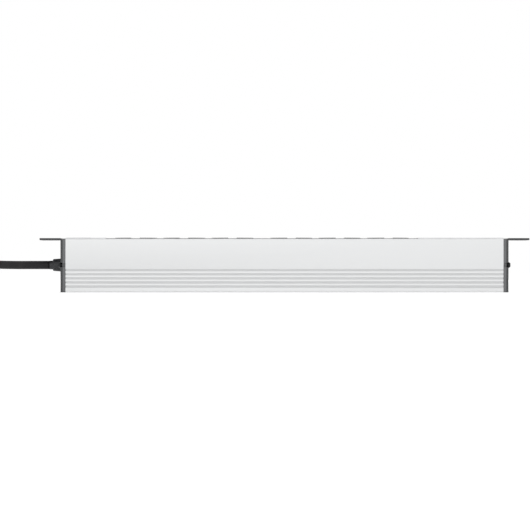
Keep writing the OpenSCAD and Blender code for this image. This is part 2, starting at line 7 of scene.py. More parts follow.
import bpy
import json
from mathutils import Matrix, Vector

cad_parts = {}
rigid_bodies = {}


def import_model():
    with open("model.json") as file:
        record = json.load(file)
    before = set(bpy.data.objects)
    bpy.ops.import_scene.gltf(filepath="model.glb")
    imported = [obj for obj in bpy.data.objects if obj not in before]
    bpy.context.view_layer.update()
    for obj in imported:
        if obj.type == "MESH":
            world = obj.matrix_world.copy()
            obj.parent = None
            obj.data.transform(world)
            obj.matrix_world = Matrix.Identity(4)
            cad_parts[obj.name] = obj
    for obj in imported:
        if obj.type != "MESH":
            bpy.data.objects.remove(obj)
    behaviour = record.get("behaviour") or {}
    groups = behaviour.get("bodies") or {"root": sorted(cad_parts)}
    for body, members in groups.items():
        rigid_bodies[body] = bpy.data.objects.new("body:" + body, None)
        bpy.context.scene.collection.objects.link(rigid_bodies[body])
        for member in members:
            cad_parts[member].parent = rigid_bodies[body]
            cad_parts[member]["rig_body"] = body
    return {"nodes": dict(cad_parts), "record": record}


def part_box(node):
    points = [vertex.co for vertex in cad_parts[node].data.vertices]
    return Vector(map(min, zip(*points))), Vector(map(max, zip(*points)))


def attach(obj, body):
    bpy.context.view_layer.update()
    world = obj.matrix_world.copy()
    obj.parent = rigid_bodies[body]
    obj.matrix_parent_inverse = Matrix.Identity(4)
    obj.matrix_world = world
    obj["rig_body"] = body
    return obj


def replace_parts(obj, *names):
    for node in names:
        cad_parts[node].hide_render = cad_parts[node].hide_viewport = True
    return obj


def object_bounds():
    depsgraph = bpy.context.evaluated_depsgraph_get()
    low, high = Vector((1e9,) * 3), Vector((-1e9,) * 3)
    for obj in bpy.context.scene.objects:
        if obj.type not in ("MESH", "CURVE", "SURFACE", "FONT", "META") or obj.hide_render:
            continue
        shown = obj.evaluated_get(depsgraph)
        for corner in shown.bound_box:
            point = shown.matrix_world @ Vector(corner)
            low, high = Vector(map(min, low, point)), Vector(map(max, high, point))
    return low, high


bl_info = {
    "name": "Desk power strip",
    "version": (1, 0, 0),
    "blender": (4, 5, 0),
    "location": "3D View > Sidebar > Power strip",
    "description": "Makes a power strip's cord, tie, soft edges and finishes around its frame",
    "category": "Object",
}

import json
from math import pi, radians

import bmesh
import bpy
import numpy as np
from bpy.props import FloatProperty, FloatVectorProperty, IntProperty, PointerProperty
from mathutils import Vector

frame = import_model()
cad_low, cad_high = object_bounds()

MM = 0.001
BODY = "strip"

# The cord's route beyond its bush, in metres: the lead to the hank, and the tail from it to the plug
LEAD_ROUTE = np.array([
    [-232.8, 0, 27], [-250, 0, 27], [-268, 0, 27], [-284, 0, 27.4], [-296, 0, 28.7],
    [-307, 0, 29.4], [-313, 0.2, 29.4], [-327, 3.4, 29.4], [-341, 11.8, 29.4],
    [-355, 20.6, 29.4], [-367, 24.4, 29.4], [-372, 24.6, 29.4],
]) * MM
TAIL_ROUTE = np.array([
    [-466.5, 24.6, 4.7], [-480, 22.6, 6.6], [-494, 17.6, 11.4], [-508, 12.4, 16.4],
    [-521, 10.3, 18.4], [-526.5, 10.2, 18.5],
]) * MM
HANK_R = 24.6 * MM  # radius of the folds' middle line
HANK_X = (-456.5 * MM, -334.6 * MM)  # middles of the left and right folds
HANK_Z = (29.3 * MM, 21.1 * MM, 12.9 * MM, 4.7 * MM)  # heights of the layers, from the top
CORD_STEP = 2.4 * MM  # from one ring of the cord to the next
CORE_R = 1.7 * MM  # radius of an insulated core

# The view and the lamps, for a strip whose ears span LAMP_SPAN
LAMP_SPAN = 0.4826
SPAN_SHARE = 0.9244  # share of the picture's width that the ears' span fills
EYE_SHIFT = -0.0398  # sideways place of the camera, as a share of the span
FLOOR_REACH = 6.0
FLOOR_GAP = 0.05 * MM  # from the strip down to the floor
LAMPS = (  # name, place, width, power in watts
    ("front", (-0.3, -3.4, 0.9), 2.4, 12.0),
    ("above", (0.2, -0.1, 1.7), 1.3, 4.0),
    ("behind", (0.5, 2.2, 0.9), 1.6, 8.0),
    ("right", (1.9, -0.5, 0.7), 1.0, 3.5),
)


# ---- Sizes and colours that a user may change ----

def length(name, description, default, low, high):
    """A length in metres, as a property."""
    return FloatProperty(name=name, description=description, default=default, min=low, max=high,
                         precision=5, unit="LENGTH")


def colour(name, description, default):
    """A colour without light on it, as a property."""
    return FloatVectorProperty(name=name, description=description, default=default, size=3,
                               min=0.0, max=1.0, subtype="COLOR")


class StripSizes(bpy.types.PropertyGroup):
    """Sizes of what is added to the frame."""

    moulded_edge: length("Moulded edge", "Rounding of plastic edges", 0.22 * MM, 0.05 * MM, 0.5 * MM)
    cut_edge: length("Cut edge", "Rounding of metal edges", 0.14 * MM, 0.05 * MM, 0.4 * MM)
    cord_d: length("Cord", "Diameter of the mains cord", 8.2 * MM, 7 * MM, 8.4 * MM)
    cord_sides: IntProperty(name="Cord sides", description="Faces round it", default=28, min=12, max=48)
    lay_pitch: length("Lay", "Length of one turn of the cores in the cord", 62 * MM, 40 * MM, 90 * MM)
    lay_depth: length("Lay depth", "How far the cores show through the sheath", 0.04 * MM, 0.0, 0.2 * MM)
    tie_w: length("Tie width", "Width of the tie round the hank", 16 * MM, 10 * MM, 16 * MM)
    tie_t: length("Tie thickness", "Thickness of the tie's tape", 0.6 * MM, 0.4 * MM, 0.6 * MM)


class StripColours(bpy.types.PropertyGroup):
    """Colours of the finishes."""

    aluminium: colour("Aluminium", "Anodised channel", (0.688, 0.694, 0.697))
    socket: colour("Sockets", "Socket blocks, bush and nut", (0.020, 0.020, 0.022))
    cover: colour("Covers", "Blank covers beside the socket blocks", (0.66, 0.665, 0.67))
    cap: colour("End caps", "Plastic of the end caps", (0.125, 0.127, 0.131))
    bracket: colour("Brackets", "Powder coat of the brackets", (0.036, 0.037, 0.039))
    cord: colour("Cord", "Sheath of the cord", (0.013, 0.0125, 0.014))
    plug: colour("Plug", "Rubber of the plug", (0.021, 0.021, 0.023))
    shutter: colour("Shutters", "Plastic of the shutters", (0.66, 0.65, 0.61))
    brass: colour("Brass", "Contact strips", (0.74, 0.53, 0.25))
    steel: colour("Steel", "Plated screws, springs and earth parts", (0.58, 0.57, 0.54))
    floor: colour("Floor", "Floor of the stage", (0.86, 0.86, 0.86))


# ---- Materials ----

class Amount:
    """A number that a material works out. Arithmetic on it adds the Math nodes that do it."""

    def __init__(self, finish, socket):
        self.finish, self.socket = finish, socket

    def math(self, operation, *numbers):
        """The result of a Math node."""
        return self.finish.node("ShaderNodeMath", {"operation": operation}, dict(enumerate(numbers)))

    def __add__(self, other):
        return self.math("ADD", self, other)

    def __radd__(self, other):
        return self.math("ADD", other, self)

    def __sub__(self, other):
        return self.math("SUBTRACT", self, other)

    def __rsub__(self, other):
        return self.math("SUBTRACT", other, self)

    def __mul__(self, other):
        return self.math("MULTIPLY", self, other)

    def __rmul__(self, other):
        return self.math("MULTIPLY", other, self)

    def __abs__(self):
        return self.math("ABSOLUTE", self)


class Finish:
    """A material in the making: where its patterns lie, and the nodes that make them."""

    def __init__(self, name):
        self.material = bpy.data.materials.new(name)
        self.material.use_nodes = True
        self.tree = self.material.node_tree
        self.tree.nodes.clear()
        self.coordinates = self.tree.nodes.new("ShaderNodeTexCoord")
        self.place = Amount(self, self.coordinates.outputs["Object"])
        self.laid = Amount(self, self.coordinates.outputs["UV"])

    def node(self, kind, settings=None, sockets=None, output=0):
        """Adds a node: its settings first, then its sockets' values or links; gives one output."""
        made = self.tree.nodes.new(kind)
        for key, value in (settings or {}).items():
            setattr(made, key, value)
        for key, value in (sockets or {}).items():
            if isinstance(value, Amount):
                self.tree.links.new(value.socket, made.inputs[key])
            else:
                made.inputs[key].default_value = value
        return Amount(self, made.outputs[output]) if made.outputs else None

    def noise(self, scale, detail=2.0, stretch=None, at=None):
        """Soft noise from 0 to 1 with that many features in a metre, drawn out by stretch."""
        at = at or self.place
        if stretch:
            at = self.node("ShaderNodeMapping", {}, {"Vector": at, "Scale": stretch})
        return self.node("ShaderNodeTexNoise", {}, {"Vector": at, "Scale": scale, "Detail": detail})

    def along(self, axis, at=None):
        """One of the three coordinates, in metres."""
        return self.node("ShaderNodeSeparateXYZ", {}, {"Vector": at or self.place}, output=axis)

    def ease(self, amount, low, high):
        """0 below low and 1 above high, with a smooth step between them."""
        return self.node("ShaderNodeMapRange", {"interpolation_type": "SMOOTHSTEP"},
                         {"Value": amount, "From Min": low, "From Max": high})

    def mix(self, share, one, other):
        """A colour between two others."""
        one, other = (c if isinstance(c, Amount) else (*c, 1.0) for c in (one, other))
        return self.node("ShaderNodeMix", {"data_type": "RGBA"}, {0: share, 6: one, 7: other}, output=2)

    def done(self, colour, roughness, metallic=0.0, height=None, depth=0.0, **fixed):
        """Ends in the main shader. Height, 0 to 1, raises the surface by depth in metres."""
        sockets = {"Roughness": roughness, "Metallic": metallic}
        sockets["Base Color"] = colour if isinstance(colour, Amount) else (*colour, 1.0)
        if height is not None:
            sockets["Normal"] = self.node("ShaderNodeBump", {}, {"Height": height, "Distance": depth})
        sockets.update({key.replace("_", " "): value for key, value in fixed.items()})
        shader = self.node("ShaderNodeBsdfPrincipled", {}, sockets)
        self.node("ShaderNodeOutputMaterial", {}, {"Surface": shader})
        return self.material


def shade(colour, factor):
    """A colour made lighter or darker."""
    return tuple(min(1.0, c * factor) for c in colour)


def anodised_aluminium(colour, top, half_w):
    """Satin anodising over die lines that run along the extrusion, darkened by painted shade and rougher
    down in the grooves, rubbed a little along the top lips."""
    f = Finish("anodised_aluminium")
    lines = f.noise(1.0, 3.0, stretch=(5.0, 2600.0, 2600.0))
    etch = f.noise(5200.0, 2.0)
    cloud = f.noise(16.0, 3.0)
    rubbed = f.ease(f.along(2), top - 1.4 * MM, top - 0.1 * MM) * f.ease(f.noise(90.0, 4.0), 0.35, 0.7)
    groove_shade_mask = f.ease(half_w - abs(f.along(1)), 0.1 * MM, 0.7 * MM) * f.ease(f.along(2), 0.4 * MM, 1.2 * MM)
    tint = f.mix(lines * 0.55 + cloud * 0.45, shade(colour, 0.97), shade(colour, 1.03))
    # painted shade: the recessed faces of the grooves are mixed towards a darker copy of the colour
    tint = f.mix(groove_shade_mask * (1.0 - rubbed) * 0.3, tint, shade(colour, 0.72))
    tint = f.mix(rubbed * 0.5, tint, shade(colour, 1.1))
    roughness = 0.40 + lines * 0.07 + cloud * 0.05 - rubbed * 0.1 + groove_shade_mask * 0.1
    return f.done(tint, roughness, 1.0, lines * 0.6 + etch * 0.4, 0.006 * MM)


def moulded_plastic(name, colour, roughness=0.42, grain=2300.0, depth=0.012 * MM, worn=0.25):
    """Eroded mould grain, a faint cloudy sheen and a few pale rubbed spots."""
    f = Finish(name)
    texture = f.noise(grain, 2.5)
    cloud = f.noise(34.0, 3.0)
    spots = f.ease(f.noise(260.0, 5.0), 0.6, 0.78)
    tint = f.mix(cloud, shade(colour, 0.88), shade(colour, 1.14))
    tint = f.mix(spots * worn, tint, shade(colour, 1.7))
    return f.done(tint, roughness + cloud * 0.08 + texture * 0.05 - spots * 0.05, 0.0, texture, depth,
                  IOR=1.47)


def powder_coat(colour, slots_x, slots_y, slot_r):
    """Orange peel of a thin powder coat, polished in rings where screws have sat on the slots."""
    f = Finish("powder_coat")
    peel = f.noise(620.0, 1.5)
    fine = f.noise(3600.0, 2.0)
    cloud = f.noise(28.0, 3.0)
    across = abs(abs(f.along(1)) - slots_y)
    outwards = abs(abs(f.along(0)) - slots_x)
    away = f.node("ShaderNodeMath", {"operation": "MAXIMUM"}, {0: across, 1: outwards})
    ring = (1.0 - f.ease(away, slot_r, slot_r * 1.5)) * f.ease(f.noise(420.0, 4.0), 0.4, 0.65)
    tint = f.mix(cloud * 0.6 + fine * 0.4, shade(colour, 0.86), shade(colour, 1.18))
    tint = f.mix(ring * 0.2, tint, shade(colour, 1.5))
    return f.done(tint, 0.44 + cloud * 0.06 - ring * 0.08, 0.0, peel * 0.75 + fine * 0.25, 0.018 * MM,
                  IOR=1.5)


def plated_steel(name, colour, roughness=0.3, stretch=None):
    """Bright plating with a faint warm and cool drift and fine drawing marks."""
    f = Finish(name)
    drift = f.noise(210.0, 3.0)
    marks = f.noise(2400.0 if stretch is None else 1.0, 3.0, stretch=stretch)
    warm = (colour[0] * 1.06, colour[1], colour[2] * 0.88)
    cool = (colour[0] * 0.9, colour[1] * 0.97, colour[2] * 1.05)
    return f.done(f.mix(drift, warm, cool), roughness + marks * 0.12 + drift * 0.06, 1.0, marks,
                  0.004 * MM)


def blackened_steel():
    """Black passivated screw heads, worn to dull metal at a few spots of the recess and rim."""
    f = Finish("blackened_steel")
    fine = f.noise(3200.0, 3.0)
    worn = f.ease(f.noise(900.0, 4.0), 0.58, 0.72)
    tint = f.mix(worn * 0.45, (0.012, 0.0125, 0.0135), (0.12, 0.12, 0.12))
    return f.done(tint, 0.34 + fine * 0.12 + worn * 0.08, 0.55, fine, 0.006 * MM)


def rolled_brass(colour):
    """Rolled strip: lines along its length and patches of brown tarnish."""
    f = Finish("rolled_brass")
    lines = f.noise(1.0, 3.0, stretch=(12.0, 2800.0, 2800.0))
    tarnish = f.ease(f.noise(120.0, 4.0), 0.5, 0.75)
    tint = f.mix(lines, shade(colour, 0.92), shade(colour, 1.06))
    tint = f.mix(tarnish * 0.5, tint, (0.38, 0.22, 0.09))
    return f.done(tint, 0.24 + lines * 0.1 + tarnish * 0.15, 1.0, lines, 0.004 * MM)


def nickel_plate():
    """Bright nickel with the fine lengthwise scratches that sockets leave on pins."""
    f = Finish("nickel_plate")
    scratches = f.ease(f.noise(1.0, 4.0, stretch=(70.0, 4200.0, 4200.0)), 0.56, 0.68)
    drift = f.noise(150.0, 2.0)
    tint = f.mix(drift, (0.70, 0.68, 0.63), (0.78, 0.77, 0.74))
    return f.done(tint, 0.16 + scratches * 0.2 + drift * 0.05, 1.0, scratches, 0.003 * MM)


def cord_sheath(colour, follows_cord):
    """Satin flexible sheath: draw lines along the cord and a little dust in soft patches."""
    f = Finish("cord_sheath" if follows_cord else "inlet_sheath")
    at = f.laid if follows_cord else f.place
    stretch = (30.0, 2400.0, 2400.0)
    lines = f.noise(1.0, 3.0, stretch=stretch, at=at)
    fine = f.noise(3000.0, 2.0)
    dust = f.ease(f.noise(60.0, 5.0), 0.5, 0.8)
    tint = f.mix(lines, shade(colour, 0.85), shade(colour, 1.2))
    tint = f.mix(dust * 0.22, tint, (0.06, 0.058, 0.056))
    return f.done(tint, 0.44 + lines * 0.08 + dust * 0.12, 0.0, lines * 0.5 + fine * 0.5, 0.01 * MM,
                  IOR=1.5, Specular_IOR_Level=0.2)


def core_insulation(name, colour, stripe=None, axis_z=0.0):
    """Smooth core insulation; a stripe colour lies on the upper and lower sides of the core."""
    f = Finish(name)
    cloud = f.noise(300.0, 2.0)
    tint = f.mix(cloud, shade(colour, 0.9), shade(colour, 1.1))
    if stripe:
        side = f.ease(abs(f.along(2) - axis_z) - abs(f.along(1)), -0.1 * MM, 0.1 * MM)
        tint = f.mix(side, tint, stripe)
    return f.done(tint, 0.38 + cloud * 0.08, 0.0, cloud, 0.01 * MM)


def blank_foil(middle, half_x, half_y):
    """Brushed silver foil with a thin dark frame near its edge and nothing printed on it."""
    f = Finish("blank_foil")
    brushed = f.noise(1.0, 3.0, stretch=(3200.0, 20.0, 3200.0))
    inwards_x = half_x - abs(f.along(0) - middle)
    inwards_y = half_y - abs(f.along(1))
    inwards = f.node("ShaderNodeMath", {"operation": "MINIMUM"}, {0: inwards_x, 1: inwards_y})
    line = f.ease(inwards, 1.0 * MM, 1.1 * MM) * (1.0 - f.ease(inwards, 1.4 * MM, 1.5 * MM))
    tint = f.mix(brushed, (0.50, 0.50, 0.51), (0.62, 0.62, 0.63))
    tint = f.mix(line, tint, (0.05, 0.05, 0.052))
    return f.done(tint, 0.3 + brushed * 0.12 + line * 0.2, 1.0 - line, brushed, 0.003 * MM)


def loop_tape(tape_w):
    """Hook and loop tape: a close field of loops, a plain woven selvedge along both edges."""
    f = Finish("loop_tape")
    loops = f.node("ShaderNodeTexVoronoi", {}, {"Vector": f.laid, "Scale": 1500.0})
    fuzz = f.noise(4200.0, 3.0, at=f.laid)
    across = abs(f.along(1, f.laid) - tape_w / 2)
    selvedge = f.ease(across, tape_w / 2 - 1.5 * MM, tape_w / 2 - 1.2 * MM)
    rib_pitch = 0.55 * MM
    turn = f.along(0, f.laid) * (2 * pi / rib_pitch)
    ribs = f.node("ShaderNodeMath", {"operation": "SINE"}, {0: turn})
    pile = (1.0 - selvedge) * loops + selvedge * (ribs * 0.5 + 0.5)
    tint = f.mix(pile * 0.7 + fuzz * 0.3, (0.014, 0.014, 0.015), (0.055, 0.055, 0.058))
    return f.done(tint, 0.86 + fuzz * 0.1, 0.0, pile * 0.8 + fuzz * 0.2, 0.16 * MM, Sheen_Weight=0.35,
                  Sheen_Roughness=0.5)


def plug_rubber(colour):
    """Moulded rubber, matt and finely grained, with a little pale bloom."""
    return moulded_plastic("plug_rubber", colour, roughness=0.56, grain=1700.0, depth=0.02 * MM, worn=0.4)


def plain_floor(colour):
    """Even, matt, pale floor."""
    f = Finish("plain_floor")
    return f.done(colour, 1.0, Specular_IOR_Level=0.0, Emission_Color=(1.0, 1.0, 1.0, 1.0),
                  Emission_Strength=0.36)


def dress(piece, material):
    """Gives the piece its only material."""
    piece.data.materials.clear()
    piece.data.materials.append(material)
    return piece


# ---- Shapes ----

def grid_faces(rows, columns, round_rows=False, round_columns=False):
    """The four-sided faces of a grid of points, closed on itself where it goes round."""
    i = np.arange(rows if round_rows else rows - 1)[:, None]
    j = np.arange(columns if round_columns else columns - 1)[None, :]
    i2, j2 = (i + 1) % rows, (j + 1) % columns
    corners = np.broadcast_arrays(i * columns + j, i * columns + j2, i2 * columns + j2, i2 * columns + j)
    return np.stack(corners, -1).reshape(-1, 4)


def new_piece(name, points, faces, laid=None):
    """A smooth mesh object from points and faces; laid gives each point's place on the flat material."""
    mesh = bpy.data.meshes.new(name)
    mesh.from_pydata(points.reshape(-1, 3).tolist(), [], faces)
    mesh.validate()
    mesh.shade_smooth()
    if laid is not None:
        corner = np.zeros(len(mesh.loops), np.int32)
        mesh.loops.foreach_get("vertex_index", corner)
        layer = mesh.uv_layers.new(name="UVMap")
        layer.data.foreach_set("uv", laid.reshape(-1, 2)[corner].astype(np.float32).ravel())
    piece = bpy.data.objects.new(name, mesh)
    bpy.context.scene.collection.objects.link(piece)
    return piece


def smooth_line(points, step):
    """A curve through all the points: each stretch is the cubic whose slopes at its two ends run
    parallel to the line between the neighbours, sampled about every step."""
    before = np.vstack([2 * points[:1] - points[1:2], points[:-1]])
    after = np.vstack([points[1:], 2 * points[-1:] - points[-2:-1]])
    gap_before = np.linalg.norm(points - before, axis=1)[:, None]
    gap_after = np.linalg.norm(after - points, axis=1)[:, None]
    slope = ((points - before) / gap_before * gap_after + (after - points) / gap_after * gap_before)
    slope = slope / (gap_before + gap_after)
    stretch = np.linalg.norm(np.diff(points, axis=0), axis=1)
    count = np.maximum(2, np.ceil(stretch / step).astype(int))
    at = np.concatenate([i + np.arange(n) / n for i, n in enumerate(count)])
    i = at.astype(int)
    t = (at - i)[:, None]
    h = stretch[i][:, None]
    line = ((2 * t**3 - 3 * t**2 + 1) * points[i] + (t**3 - 2 * t**2 + t) * h * slope[i]
            + (3 * t**2 - 2 * t**3) * points[i + 1] + (t**3 - t**2) * h * slope[i + 1])
    return np.vstack([line, points[-1:]])


def even_line(points, step):
    """The same line with its points the same distance apart, about step."""
    run = np.concatenate([[0.0], np.cumsum(np.linalg.norm(np.diff(points, axis=0), axis=1))])
    at = np.linspace(0.0, run[-1], int(round(run[-1] / step)) + 1)
    return np.stack([np.interp(at, run, points[:, k]) for k in range(3)], 1), at


def fold(end, high, low, count=40):
    """Half a circle round one of the hank's two fold middles, which eases from one height to another."""
    a = np.linspace(0.0, pi, count)[:, None]
    t = a / pi
    side = -1.0 if end == 0 else 1.0
    return np.hstack([HANK_X[end] + side * HANK_R * np.sin(a), -side * HANK_R * np.cos(a),
                      high + (low - high) * t * t * (3.0 - 2.0 * t)])


def cord_line(step):
    """The cord's middle line from its bush to its plug: lead, three full turns and a run, tail."""
    parts = [smooth_line(LEAD_ROUTE, step)]
    for high, low in zip(HANK_Z[:-1], HANK_Z[1:]):
        parts += [fold(0, high, low), fold(1, low, low)]
    parts.append(smooth_line(TAIL_ROUTE, step))
    return even_line(np.vstack(parts), step)


def across_line(line):
    """Two directions across a line at each of its points: level sideways, and square to that."""
    ahead = np.gradient(line, axis=0)
    ahead /= np.linalg.norm(ahead, axis=1)[:, None]
    side = np.cross(ahead, [0.0, 0.0, 1.0])
    side /= np.linalg.norm(side, axis=1)[:, None]
    return side, np.cross(side, ahead)


def cord_surface(line, run, sizes):
    """Point of the cord at distance s and angle a: the line's point, plus a radius across the line that
    is r + d (cos(3 a - 2 pi s / p) - 1) / 2, so that the three twisted cores show as faint long waves.
    The ends are closed by one face each."""
    side, up = across_line(line)
    n = sizes.cord_sides
    a = np.linspace(0.0, 2 * pi, n, endpoint=False)[None, :]
    wave = np.cos(3 * a - 2 * pi * run[:, None] / sizes.lay_pitch)
    settle = np.clip(np.minimum(run, run[-1] - run) / (6 * sizes.cord_d), 0.0, 1.0)[:, None]
    r = (sizes.cord_d / 2 + sizes.lay_depth * settle * (wave - 1.0) * 0.5)[:, :, None]
    a_side, a_up = np.cos(a)[:, :, None], np.sin(a)[:, :, None]
    points = line[:, None] + r * (a_side * side[:, None] + a_up * up[:, None])
    laid = np.stack(np.broadcast_arrays(run[:, None], a * sizes.cord_d / 2), -1)
    faces = grid_faces(len(line), n, round_columns=True)[:, ::-1].tolist()
    faces += [list(range(n)), list(range((len(line) - 1) * n, len(line) * n))[::-1]]
    return points, faces, laid


def rounded_copy(node, radius, segments=2, sharp=38.0):
    """A copy of a frame node with its loose points merged, its flat faces made whole and its sharp
    edges rounded. It stands for the node and rides where the node rides."""
    source = frame["nodes"][node]
    mesh = source.data.copy()
    mesh.name = f"{node}_finished"
    work = bmesh.new()
    work.from_mesh(mesh)
    bmesh.ops.remove_doubles(work, verts=work.verts, dist=0.002 * MM)
    bmesh.ops.dissolve_limit(work, angle_limit=radians(0.4), verts=work.verts, edges=work.edges)
    work.to_mesh(mesh)
    work.free()
    mesh.shade_smooth()
    mesh.set_sharp_from_angle(angle=radians(sharp))
    piece = bpy.data.objects.new(mesh.name, mesh)
    bpy.context.scene.collection.objects.link(piece)
    if radius:
        bevel = piece.modifiers.new("soft_edges", "BEVEL")
        bevel.width = radius
        bevel.segments = segments
        bevel.limit_method = "ANGLE"
        bevel.angle_limit = radians(sharp)
        bevel.use_clamp_overlap = False
        bevel.harden_normals = True
    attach(piece, source["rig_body"])
    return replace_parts(piece, node)


# ---- Pieces ----


def finish_nodes(nodes, material, radius=0.0):
    """Gives frame nodes a material; with a radius, rounded copies take their place."""
    for node in nodes:
        piece = rounded_copy(node, radius) if radius else frame["nodes"][node]
        dress(piece, material)


def named(*starts):
    """The frame nodes whose names start with one of these words, in order."""
    return sorted(n for n in frame["nodes"] if n.startswith(starts))


class POWERSTRIP_OT_stage(bpy.types.Operator):
    """Makes the camera square to the strip's side, a pale floor, soft lights and a white surround"""

    bl_idname = "power_strip.stage"
    bl_label = "Stage"

    def execute(self, context):
        left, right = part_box("bracket_left")[0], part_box("bracket_right")[1]
        span = right.x - left.x
        self.camera(context, span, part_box("channel")[0].y)
        self.lights(context, span)
        self.floor(context)
        return {"FINISHED"}

    def camera(self, context, span, front_y):
        """A long lens from the front at the cord's height; the ears' span fills 92% of the width."""
        lens = bpy.data.cameras.new("camera")
        lens.lens = 200.0
        lens.sensor_width = 36.0
        lens.clip_end = 100.0
        eye = bpy.data.objects.new("camera", lens)
        context.scene.collection.objects.link(eye)
        away = span / SPAN_SHARE * lens.lens / lens.sensor_width
        low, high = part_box("cord_inlet")
        eye.location = (EYE_SHIFT * span, front_y - away, (low.z + high.z) / 2)
        eye.rotation_euler = (pi / 2, 0.0, 0.0)
        context.scene.camera = eye

    def lights(self, context, span):
        """Broad soft lights on all sides, in a surround that looks whiter than it shines."""
        for name, place, size, power in LAMPS:
            lamp = bpy.data.lights.new(name, "AREA")
            lamp.shape = "DISK"
            lamp.size = size
            lamp.energy = power
            holder = bpy.data.objects.new(name, lamp)
            holder.location = Vector(place) * (span / LAMP_SPAN)
            holder.rotation_euler = (-holder.location).to_track_quat("-Z", "Y").to_euler()
            holder.visible_camera = False
            context.scene.collection.objects.link(holder)
        world = bpy.data.worlds.new("white_surround")
        world.use_nodes = True
        nodes, links = world.node_tree.nodes, world.node_tree.links
        background = nodes["Background"]
        background.inputs["Color"].default_value = (1.0, 1.0, 1.0, 1.0)
        path = nodes.new("ShaderNodeLightPath")
        strength = nodes.new("ShaderNodeMapRange")
        strength.inputs["To Min"].default_value = 0.8
        strength.inputs["To Max"].default_value = 1.0
        links.new(path.outputs["Is Camera Ray"], strength.inputs["Value"])
        links.new(strength.outputs["Result"], background.inputs["Strength"])
        context.scene.world = world
        context.scene.view_settings.view_transform = "Standard"

    def floor(self, context):
        """A flat square floor just under the strip."""
        reach = FLOOR_REACH
        level = cad_low.z - FLOOR_GAP
        corners = [[-reach, -reach], [reach, -reach], [reach, reach], [-reach, reach]]
        sheet = new_piece("floor", np.array([[x, y, level] for x, y in corners]), [[0, 1, 2, 3]])
        dress(sheet, plain_floor(context.scene.strip_colours.floor))


class POWERSTRIP_OT_cord(bpy.types.Operator):
    """Makes the mains cord from its bush through the hank to its plug"""

    bl_idname = "power_strip.cord"
    bl_label = "Cord"

    def execute(self, context):
        sizes = context.scene.strip_sizes
        line, run = cord_line(CORD_STEP)
        cord = new_piece("mains_cord", *cord_surface(line, run, sizes))
        dress(cord, cord_sheath(context.scene.strip_colours.cord, follows_cord=True))
        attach(cord, BODY)
        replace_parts(cord, "cord_lead", "cord_hank", "cord_tail")
        context.scene["cord_path"] = line.ravel().tolist()
        return {"FINISHED"}


class POWERSTRIP_OT_tie(bpy.types.Operator):
    """Makes the hook and loop tie round the middle of the hank"""

    bl_idname = "power_strip.tie"
    bl_label = "Tie"

    def execute(self, context):
        sizes = context.scene.strip_sizes
        low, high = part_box("hank_tie")
        points, faces, laid = self.tape(low, high, sizes)
        tie = new_piece("hank_strap", points, faces, laid)
        dress(tie, loop_tape(sizes.tie_w))
        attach(tie, BODY)
        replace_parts(tie, "hank_tie")
        return {"FINISHED"}

    def tape(self, low, high, sizes):
        """A flat tape carried once round the bundle and a little further, where its end lies on its start:
        the outline's corners are quarter circles of the cord's radius, and over the last stretch before it
        closes it climbs outwards by its own thickness. Each ring is a thin rounded oblong."""
        t = sizes.tie_t
        step = 1.0 * MM
        lapped = 22 * MM
        climb = 9 * MM
        r = sizes.cord_d / 2 + t / 2
        wide = high.y - t / 2
        step_y = HANK_R - sizes.cord_d / 2
        bottom, top, shelf = low.z + t / 2, high.z - t / 2, high.z - sizes.cord_d - t / 2
        quarter = np.linspace(0.0, pi / 2, 12)

        def corner(y, z, start):
            return np.stack([y + r * np.cos(start + quarter), z + r * np.sin(start + quarter)], 1)

        first = [[0.0, shelf + 1.6 * MM]]
        outline = np.vstack([
            first, corner(-wide + r, shelf - r, pi / 2), corner(-wide + r, bottom + r, pi), [[0.0, bottom]],
            corner(wide - r, bottom + r, -pi / 2), corner(wide - r, top - r, 0.0),
            [[step_y + r * 0.3, top - 0.2 * MM], [step_y - r * 0.4, top - 1.2 * MM],
             [step_y - 2 * r, shelf + 3.4 * MM]],
            first,
        ])
        ring = smooth_line(np.hstack([np.zeros((len(outline), 1)), outline]), step)
        ring[:, 1] = np.clip(ring[:, 1], -wide, wide)
        ring[:, 2] = np.maximum(ring[:, 2], bottom)
        line, run = even_line(ring, step)
        extra = int(lapped / step)
        line = np.vstack([line, line[1:extra + 1]])
        run = np.concatenate([run, run[-1] + run[1:extra + 1]])
        ahead = np.gradient(line, axis=0)
        ahead /= np.linalg.norm(ahead, axis=1)[:, None]
        outwards = np.cross(ahead, [1.0, 0.0, 0.0])
        share = np.clip((run - (run[-1] - lapped - climb)) / climb, 0.0, 1.0)
        line = line + (t * share**2 * (3.0 - 2.0 * share))[:, None] * outwards
        k = np.linspace(0.0, 2 * pi, 36, endpoint=False)
        flat = np.clip(1.35 * np.cos(k), -1.0, 1.0) * sizes.tie_w / 2
        thick = np.clip(1.6 * np.sin(k), -1.0, 1.0) * t / 2
        middle = (low.x + high.x) / 2
        points = (line[:, None] + np.stack([flat + middle, 0 * k, 0 * k], 1)[None]
                  + thick[None, :, None] * outwards[:, None])
        laid = np.stack(np.broadcast_arrays(run[:, None], flat[None, :] + sizes.tie_w / 2), -1)
        faces = grid_faces(len(line), len(k), round_columns=True).tolist()
        faces += [list(range(len(k)))[::-1], list(range((len(line) - 1) * len(k), len(line) * len(k)))]
        return points, faces, laid


class POWERSTRIP_OT_plug(bpy.types.Operator):
    """Finishes the plug, its boot, its pins and its earth clips"""

    bl_idname = "power_strip.plug"
    bl_label = "Plug"

    def execute(self, context):
        sizes, colours = context.scene.strip_sizes, context.scene.strip_colours
        rubber = plug_rubber(colours.plug)
        finish_nodes(["plug_body"], rubber, 2.2 * sizes.moulded_edge)
        finish_nodes(["plug_boot"], rubber, sizes.moulded_edge)
        finish_nodes(["plug_pins"], nickel_plate(), sizes.cut_edge)
        plating = plated_steel("clip_plating", colours.steel, stretch=(20.0, 2500.0, 2500.0))
        finish_nodes(["plug_earth_clips"], plating, sizes.cut_edge)
        return {"FINISHED"}


